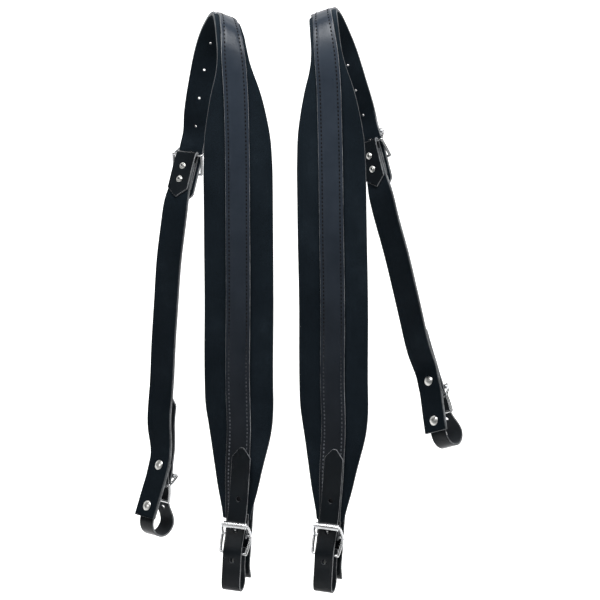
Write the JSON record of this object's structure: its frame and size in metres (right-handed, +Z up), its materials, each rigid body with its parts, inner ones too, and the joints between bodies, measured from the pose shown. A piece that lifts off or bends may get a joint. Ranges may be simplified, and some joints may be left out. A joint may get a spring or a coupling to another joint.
{
  "type": "accordion shoulder straps",
  "caption": "Pair of padded leather shoulder straps for an accordion, each draped over its arch, with roller buckles, punched adjusting straps and riveted bracket loops.",
  "frame": {"origin": "underside of the left strap's padded arch, where it rests on its support", "axes": "+X across the pair from the left strap to the right one as the wearer's front is seen, +Y from the front pads to the back straps, +Z up along the hanging straps"},
  "size_m": [0.3576, 0.2428, 0.5902],
  "materials": {
    "velvet": "deep black velvet pile with a soft grey sheen at grazing angles",
    "foam": "dark grey felted foam filling, hidden inside the pad",
    "band_leather": "smooth semi-gloss black leather with a stitched row along each edge",
    "strap_leather": "smooth satin black bridle leather with slightly lighter cut edges",
    "suede": "matt brushed black suede lining",
    "rivet_nickel": "nickel-plated domed rivets, softly worn",
    "buckle_steel": "bright nickel-chrome plated steel wire"
  },
  "bodies": {
    "left_front": {"left_pad_cover": "velvet", "left_pad_foam": "foam", "left_pad_lining": "velvet", "left_centre_band": "band_leather", "left_tail_strap": "strap_leather", "left_front_loop_strap": "strap_leather", "left_front_chape": "strap_leather", "left_front_rivets": "rivet_nickel", "left_front_buckle_frame": "buckle_steel"},
    "left_front_roller": {"left_front_buckle_roller": "buckle_steel"},
    "left_front_tongue": {"left_front_buckle_tongue": "buckle_steel"},
    "left_back": {"left_adjusting_strap": "strap_leather", "left_rear_buckle_frame": "buckle_steel"},
    "left_rear_roller": {"left_rear_buckle_roller": "buckle_steel"},
    "left_rear_tongue": {"left_rear_buckle_tongue": "buckle_steel"},
    "left_lower": {"left_rear_tab": "strap_leather", "left_rear_rivets": "rivet_nickel", "left_lower_strap": "strap_leather", "left_lower_strap_lining": "suede", "left_end_chape": "strap_leather", "left_end_loop_strap": "strap_leather", "left_end_rivets": "rivet_nickel", "left_end_buckle_frame": "buckle_steel"},
    "left_end_roller": {"left_end_buckle_roller": "buckle_steel"},
    "left_end_tongue": {"left_end_buckle_tongue": "buckle_steel"},
    "right_front": {"right_pad_cover": "velvet", "right_pad_foam": "foam", "right_pad_lining": "velvet", "right_centre_band": "band_leather", "right_tail_strap": "strap_leather", "right_front_loop_strap": "strap_leather", "right_front_chape": "strap_leather", "right_front_rivets": "rivet_nickel", "right_front_buckle_frame": "buckle_steel"},
    "right_front_roller": {"right_front_buckle_roller": "buckle_steel"},
    "right_front_tongue": {"right_front_buckle_tongue": "buckle_steel"},
    "right_back": {"right_adjusting_strap": "strap_leather", "right_rear_buckle_frame": "buckle_steel"},
    "right_rear_roller": {"right_rear_buckle_roller": "buckle_steel"},
    "right_rear_tongue": {"right_rear_buckle_tongue": "buckle_steel"},
    "right_lower": {"right_rear_tab": "strap_leather", "right_rear_rivets": "rivet_nickel", "right_lower_strap": "strap_leather", "right_lower_strap_lining": "suede", "right_end_chape": "strap_leather", "right_end_loop_strap": "strap_leather", "right_end_rivets": "rivet_nickel", "right_end_buckle_frame": "buckle_steel"},
    "right_end_roller": {"right_end_buckle_roller": "buckle_steel"},
    "right_end_tongue": {"right_end_buckle_tongue": "buckle_steel"}
  },
  "joints": [
    {"name": "left_shoulder_flex", "type": "hinge", "parent": "left_front", "child": "left_back", "pos_m": [-0.00091, 0.00927, 0.00379], "axis": [0.9254, 0.2287, -0.3021], "range_deg": [-12, 18]},
    {"name": "left_lower_swing", "type": "hinge", "parent": "left_back", "child": "left_lower", "pos_m": [-0.0411, 0.0544, -0.1362], "axis": [-0.8931, 0.4453, 0.0647], "range_deg": [0, 25]},
    {"name": "left_front_roller_spin", "type": "hinge", "parent": "left_front", "child": "left_front_roller", "pos_m": [0.00813, -0.05088, -0.50513], "axis": [0.9587, -0.2749, -0.0732], "continuous": true},
    {"name": "left_front_tongue_rock", "type": "hinge", "parent": "left_front", "child": "left_front_tongue", "pos_m": [0.0098, -0.042, -0.5166], "axis": [0.9587, -0.2749, -0.0732], "range_deg": [-2, 0.5]},
    {"name": "left_rear_roller_spin", "type": "hinge", "parent": "left_back", "child": "left_rear_roller", "pos_m": [-0.03452, 0.06661, -0.12942], "axis": [0.8931, -0.4453, -0.0647], "continuous": true},
    {"name": "left_rear_tongue_rock", "type": "hinge", "parent": "left_back", "child": "left_rear_tongue", "pos_m": [-0.0411, 0.0544, -0.1362], "axis": [-0.8931, 0.4453, 0.0647], "range_deg": [0, 6]},
    {"name": "left_end_roller_spin", "type": "hinge", "parent": "left_lower", "child": "left_end_roller", "pos_m": [-0.06732, 0.09234, -0.47981], "axis": [0.7506, -0.6584, -0.057], "continuous": true},
    {"name": "left_end_tongue_rock", "type": "hinge", "parent": "left_lower", "child": "left_end_tongue", "pos_m": [-0.0759, 0.0832, -0.4873], "axis": [-0.7506, 0.6584, 0.057], "range_deg": [-2, 0.5]},
    {"name": "right_shoulder_flex", "type": "hinge", "parent": "right_front", "child": "right_back", "pos_m": [0.10075, 0.00945, 0.00809], "axis": [0.9469, -0.1354, 0.2916], "range_deg": [-12, 18]},
    {"name": "right_lower_swing", "type": "hinge", "parent": "right_back", "child": "right_lower", "pos_m": [0.1479, 0.0844, -0.127], "axis": [-0.7903, 0.5097, -0.3401], "range_deg": [0, 25]},
    {"name": "right_front_roller_spin", "type": "hinge", "parent": "right_front", "child": "right_front_roller", "pos_m": [0.10091, -0.05087, -0.50713], "axis": [0.9535, -0.2915, -0.0767], "continuous": true},
    {"name": "right_front_tongue_rock", "type": "hinge", "parent": "right_front", "child": "right_front_tongue", "pos_m": [0.1027, -0.042, -0.5186], "axis": [0.9535, -0.2915, -0.0767], "range_deg": [-2, 0.5]},
    {"name": "right_rear_roller_spin", "type": "hinge", "parent": "right_back", "child": "right_rear_roller", "pos_m": [0.1512, 0.09597, -0.11733], "axis": [0.7903, -0.5097, 0.3401], "continuous": true},
    {"name": "right_rear_tongue_rock", "type": "hinge", "parent": "right_back", "child": "right_rear_tongue", "pos_m": [0.1479, 0.0844, -0.127], "axis": [-0.7903, 0.5097, -0.3401], "range_deg": [0, 6]},
    {"name": "right_end_roller_spin", "type": "hinge", "parent": "right_lower", "child": "right_end_roller", "pos_m": [0.2286, 0.17617, -0.40017], "axis": [0.7699, -0.5621, 0.3023], "continuous": true},
    {"name": "right_end_tongue_rock", "type": "hinge", "parent": "right_lower", "child": "right_end_tongue", "pos_m": [0.2242, 0.1654, -0.409], "axis": [-0.7699, 0.5621, -0.3023], "range_deg": [-2, 0.5]},
    {"name": "strap_spacing", "type": "slide", "parent": "left_front", "child": "right_front", "axis": [1, 0, 0], "range_m": [0, 0.15]}
  ]
}
